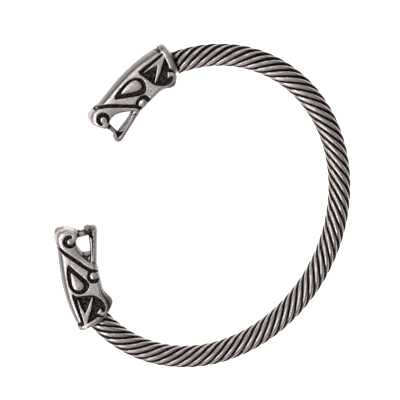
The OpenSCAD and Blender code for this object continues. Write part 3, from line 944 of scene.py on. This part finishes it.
# Whole rings are kept up to this far behind a collar.
END_ROOM = SEAM_GAP + 0.7 * WIRE_R
draw = np.random.default_rng(7)
drift_at = np.arange(run[0], run[-1] + DRIFT_EVERY, DRIFT_EVERY)
outward = oval(np.interp(run, fine_run, fine_angles))[2]
wires = []
for number in range(1, WIRES + 1):
    centre, out, along, flat, across = wire_axes(number)
    # Keep the stretch between the two collars.
    row_centre = placed(centre, lying)
    clear = np.minimum(behind_collar(row_centre, LEFT), behind_collar(row_centre, RIGHT))
    keep = np.argwhere(clear > END_ROOM)[:, 0]
    keep = np.arange(keep.min(), keep.max() + 1)
    drift = np.interp(run, drift_at, draw.uniform(-1, 1, len(drift_at)))
    tube = (centre[keep, None] + TUBE_R * (np.cos(theta)[None, :, None] * flat[keep, None]
            + np.sin(theta)[None, :, None] * across[keep, None]))
    points = placed(tube.reshape(-1, 3), lying)
    points[:AROUND] = meet_collar(points[:AROUND], -along[keep[0]], RIGHT)
    points[-AROUND:] = meet_collar(points[-AROUND:], along[keep[-1]], LEFT)
    faces, ends = tube_faces(len(keep))
    mesh = make_mesh("round_wire_%d" % number, points, faces, ends)
    off_top = np.degrees(np.abs((theta + np.pi) % (2 * np.pi) - np.pi))
    flank = np.minimum(1 - np.abs(out[:, 2]), FLANK_MOST)
    # Narrowing the strip on the ring's outer side and on the flanks is painted shade.
    narrower = DRIFT * drift + AT_OUTSIDE * (out * outward).sum(1) + AT_FLANK * flank
    dark = ramp((off_top[None, :] - STRIP_HALF + narrower[keep, None]) / STRIP_SOFT)
    # Darker by the collars: patina in the joint, and painted shade there too.
    dark = np.maximum(dark, END_DARK * ramp((END_TO - clear[keep, None]) / END_OVER))
    store(mesh, "patina_and_shade", dark.reshape(-1))
    store(mesh, "polish_and_painted_light", np.ones(len(points)))
    wire = add_object("round_wire_%d" % number, mesh)
    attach(wire, "root")
    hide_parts("wire_%d" % number)
    wires.append(wire)
print("wires made:", len(wires))

# %% [markdown]
# ## The antiqued metal
# Polished silver-coloured metal is fully metallic and its colour is the tint of what it
# mirrors. The patina is a thin brown-black layer that hardly mirrors. One finish holds both:
# the stored patina number, which also carries painted shade, roughened by a little noise,
# chooses between them. The polish chooses between clear silver and the grey skin of the
# casting. The grey left on the bands is also painted shade, and the polish on the nose is also
# a painted highlight. Wear along the edges makes the metal lighter and smoother, and the same
# number carries a painted sheen and painted highlights. Fine bumps give the faces their satin
# look. The core rod keeps the CAD model's mesh, because only its dark skin shows between the
# wires.

# %% Shader helpers
def new_material(name):
    """A material, its node tree and its main shader."""
    material = bpy.data.materials.new(name)
    material.use_nodes = True
    return material, material.node_tree, material.node_tree.nodes["Principled BSDF"]


def feed(socket, value):
    """Give a socket a number, a colour or a link. Its id_data is the tree that it is in."""
    if isinstance(value, (int, float, tuple)):
        socket.default_value = value
    else:
        socket.id_data.links.new(value, socket)


def noise(tree, scale, detail):
    """A cloudy texture that stays with the piece."""
    place = tree.nodes.new("ShaderNodeTexCoord")
    made = tree.nodes.new("ShaderNodeTexNoise")
    made.inputs["Scale"].default_value = scale
    made.inputs["Detail"].default_value = detail
    feed(made.inputs["Vector"], place.outputs["Object"])
    return made.outputs["Fac"]


def stored(tree, name):
    """A number that the mesh keeps on its points."""
    made = tree.nodes.new("ShaderNodeAttribute")
    made.attribute_name = name
    return made.outputs["Fac"]


def mix_colour(factor, a, b):
    """From colour a to colour b as the factor goes from 0 to 1."""
    made = factor.id_data.nodes.new("ShaderNodeMix")
    made.data_type = "RGBA"
    for socket, value in zip((0, 6, 7), (factor, a, b)):
        feed(made.inputs[socket], value)
    return made.outputs[2]


def reckoned(operation, *values):
    """A sum on a value and other values or numbers."""
    made = values[0].id_data.nodes.new("ShaderNodeMath")
    made.operation = operation
    for socket, value in zip(made.inputs, values):
        feed(socket, value)
    return made.outputs[0]


def stretched(value, from_range, to_range=(0.0, 1.0)):
    """A value moved from one range to another, and held inside it."""
    made = value.id_data.nodes.new("ShaderNodeMapRange")
    for socket, limit in zip(("From Min", "From Max", "To Min", "To Max"),
                             from_range + to_range):
        made.inputs[socket].default_value = limit
    feed(made.inputs["Value"], value)
    return made.outputs["Result"]


def shade(colour, share):
    """A colour at a share of its brightness."""
    return tuple(share * c for c in colour[:3]) + (1,)


# %% Antiqued metal
# The patina black and dust also colour the painted shade, and the edge silver also colours the
# painted sheen and highlights.
SILVER = (0.595, 0.537, 0.524, 1)
WIRE_SILVER = (0.56, 0.5, 0.482, 1)
EDGE_AND_SHEEN_SILVER = (0.69, 0.655, 0.648, 1)
# Grey skin of the casting, also used as painted shade on the bands.
GREY_SKIN_AND_SHADE = (0.126, 0.115, 0.113, 1)
PATINA_AND_SHADE_BLACK = (0.011, 0.008, 0.008, 1)
PATINA_AND_SHADE_DUST = (0.085, 0.068, 0.062, 1)
# How bright smoke and soot are on the metal, and specks on the grey skin
SMOKE_SHARE, SOOT_SHARE, SKIN_SHARE = 0.62, 0.35, 0.68
# Scale and detail of the noises
BLOTCH, CLOUD, GRIT, GRAIN_DETAIL = (900.0, 4.0), (250.0, 2.0), (5500.0, 2.0), 3.0
# Patina is rougher than bare metal, and a worn edge is smoother.
PATINA_ROUGHER, WEAR_ROUGHER, BUMP_STRENGTH = 0.3, -0.08, 0.9


def antiqued(name, silver, rough, grain_scale, bump_mm):
    """Silver metal with patina, grey skin, painted shade and painted sheen where the mesh says
    so.
    """
    material, tree, shader = new_material(name)
    patina_and_shade, wear_and_sheen, polish_and_painted_light = (stored(tree, kind) for kind in ("patina_and_shade", "wear_and_sheen", "polish_and_painted_light"))
    blotch, cloud, grit = (noise(tree, *kind) for kind in (BLOTCH, CLOUD, GRIT))
    grain = noise(tree, grain_scale, GRAIN_DETAIL)
    # The stored patina number brings painted shade with it, and the wear brings painted sheen.
    dark = reckoned("ADD", patina_and_shade, stretched(blotch, (0.3, 0.7), (-0.16, 0.16)))
    dark = stretched(dark, (0.25, 0.75))
    smoky = shade(silver, SMOKE_SHARE)
    metal = mix_colour(stretched(cloud, (0.35, 0.7), (0.0, 0.28)), silver, smoky)
    metal = mix_colour(polish_and_painted_light, GREY_SKIN_AND_SHADE, metal)
    metal = mix_colour(wear_and_sheen, metal, EDGE_AND_SHEEN_SILVER)
    specks = mix_colour(polish_and_painted_light, shade(GREY_SKIN_AND_SHADE, SKIN_SHARE), smoky)
    metal = mix_colour(stretched(grain, (0.36, 0.66)), metal, specks)
    metal = mix_colour(stretched(grit, (0.38, 0.66), (0.0, 0.42)), metal,
                       shade(silver, SOOT_SHARE))
    black = mix_colour(stretched(grain, (0.48, 0.64)), PATINA_AND_SHADE_BLACK, PATINA_AND_SHADE_DUST)
    feed(shader.inputs["Base Color"], mix_colour(dark, metal, black))
    shader.inputs["Metallic"].default_value = 1.0
    roughness = stretched(cloud, (0.3, 0.7), (rough - 0.04, rough + 0.05))
    roughness = reckoned("MULTIPLY_ADD", dark, PATINA_ROUGHER, roughness)
    roughness = reckoned("MULTIPLY_ADD", wear_and_sheen, WEAR_ROUGHER, roughness)
    feed(shader.inputs["Roughness"], roughness)
    bump = tree.nodes.new("ShaderNodeBump")
    bump.inputs["Strength"].default_value = BUMP_STRENGTH
    bump.inputs["Distance"].default_value = bump_mm * MM
    feed(bump.inputs["Height"],
         reckoned("MULTIPLY", grain, stretched(wear_and_sheen, (0.0, 1.0), (1.0, 0.45))))
    feed(shader.inputs["Normal"], bump.outputs["Normal"])
    return material


head_metal = antiqued("antiqued_cast_metal", SILVER, rough=0.34, grain_scale=2400.0,
                      bump_mm=0.05)
wire_metal = antiqued("antiqued_wire_metal", WIRE_SILVER, rough=0.30, grain_scale=2600.0,
                      bump_mm=0.02)
for head in heads.values():
    head.data.materials.append(head_metal)
for wire in wires:
    wire.data.materials.append(wire_metal)
print("antiqued:", head_metal.name, wire_metal.name)

# %% Blackened core
CORE_DARK, CORE_LIGHT = (0.006, 0.004, 0.004, 1), (0.03, 0.022, 0.02, 1)
core_metal, core_tree, core_shader = new_material("blackened_core")
feed(core_shader.inputs["Base Color"],
     mix_colour(noise(core_tree, 800.0, 4.0), CORE_DARK, CORE_LIGHT))
core_shader.inputs["Roughness"].default_value = 0.7
core_shader.inputs["Metallic"].default_value = 1.0
core = frame["nodes"]["core_rod"]
core.data.materials.clear()
core.data.materials.append(core_metal)
print("finishes:", [m.name for m in bpy.data.materials])

# %% [markdown]
# ## Floor and light
# The ring lies on a plain pale floor under a wide soft sky, as in a light tent. The floor
# glows a little, as a light table does. Metal shows what it mirrors, so the sky is bright
# above and greyer near the horizon. One softbox draws the bright lines along the heads'
# ridges, a second is the main lamp, and a third fills in from the other side.

# %% Floor
FLOOR_HALF = 1.5
floor_mesh = bpy.data.meshes.new("floor")
floor_mesh.from_pydata([(x * FLOOR_HALF, y * FLOOR_HALF, 0)
                        for x, y in ((-1, -1), (1, -1), (1, 1), (-1, 1))], [], [(0, 1, 2, 3)])
floor = add_object("floor", floor_mesh)
paper, _, paper_shader = new_material("pale_paper")
paper_shader.inputs["Base Color"].default_value = (0.93, 0.925, 0.92, 1)
paper_shader.inputs["Roughness"].default_value = 0.9
paper_shader.inputs["Emission Color"].default_value = (1, 1, 1, 1)
paper_shader.inputs["Emission Strength"].default_value = 0.85
floor_mesh.materials.append(paper)
print("floor:", 2 * FLOOR_HALF, "m wide")

# %% Sky
world = bpy.data.worlds.new("soft_sky")
bpy.context.scene.world = world
world.use_nodes = True
sky = world.node_tree
sky_place = sky.nodes.new("ShaderNodeTexCoord")
sky_split = sky.nodes.new("ShaderNodeSeparateXYZ")
feed(sky_split.inputs[0], sky_place.outputs["Generated"])
sky_shade = sky.nodes.new("ShaderNodeValToRGB")
# height, how bright
SKY = ((0.0, 0.38), (0.35, 0.47), (0.75, 0.66), (0.95, 1.05))
SKY_GREEN, SKY_BLUE = 0.99, 0.985
stops = sky_shade.color_ramp.elements
while len(stops) < len(SKY):
    stops.new(0.5)
for stop, (height, bright) in zip(stops, SKY):
    stop.position = height
    stop.color = (bright, bright * SKY_GREEN, bright * SKY_BLUE, 1)
feed(sky_shade.inputs["Fac"], sky_split.outputs["Z"])
# The sky is darker towards the picture's right.
sky_side = sky.nodes.new("ShaderNodeVectorMath")
sky_side.operation = "DOT_PRODUCT"
sky_side.inputs[1].default_value = -rightward
feed(sky_side.inputs[0], sky_place.outputs["Generated"])
background = sky.nodes["Background"]
feed(background.inputs["Color"], sky_shade.outputs["Color"])
feed(background.inputs["Strength"],
     stretched(sky_side.outputs["Value"], (-0.8, 0.8), (0.55, 1.15)))
print("sky stops:", len(stops))


# %% Softboxes
def softbox(name, off_left, off_up, away, size, radiance):
    """A square lamp aimed at the ring, leaned from above by two angles."""
    toward = (Vector((0, 0, 1)) - rightward * math.tan(math.radians(off_left))
              + picture_up * math.tan(math.radians(off_up))).normalized()
    lamp = bpy.data.lights.new(name, "AREA")
    lamp.size = size
    lamp.energy = math.pi * size**2 * radiance
    add_object(name, lamp).matrix_world = (
        Matrix.Translation(away * toward)
        @ toward.to_track_quat("Z", "Y").to_matrix().to_4x4())
    print(name, "is", away, "m away")


softbox("ridge_light", off_left=36, off_up=4, away=0.6, size=0.36, radiance=3.2)
softbox("key_light", off_left=42, off_up=-42, away=1.0, size=0.35, radiance=8.0)
softbox("top_light", off_left=-5, off_up=50, away=1.0, size=0.3, radiance=5.0)
bpy.context.scene.view_settings.view_transform = "Standard"
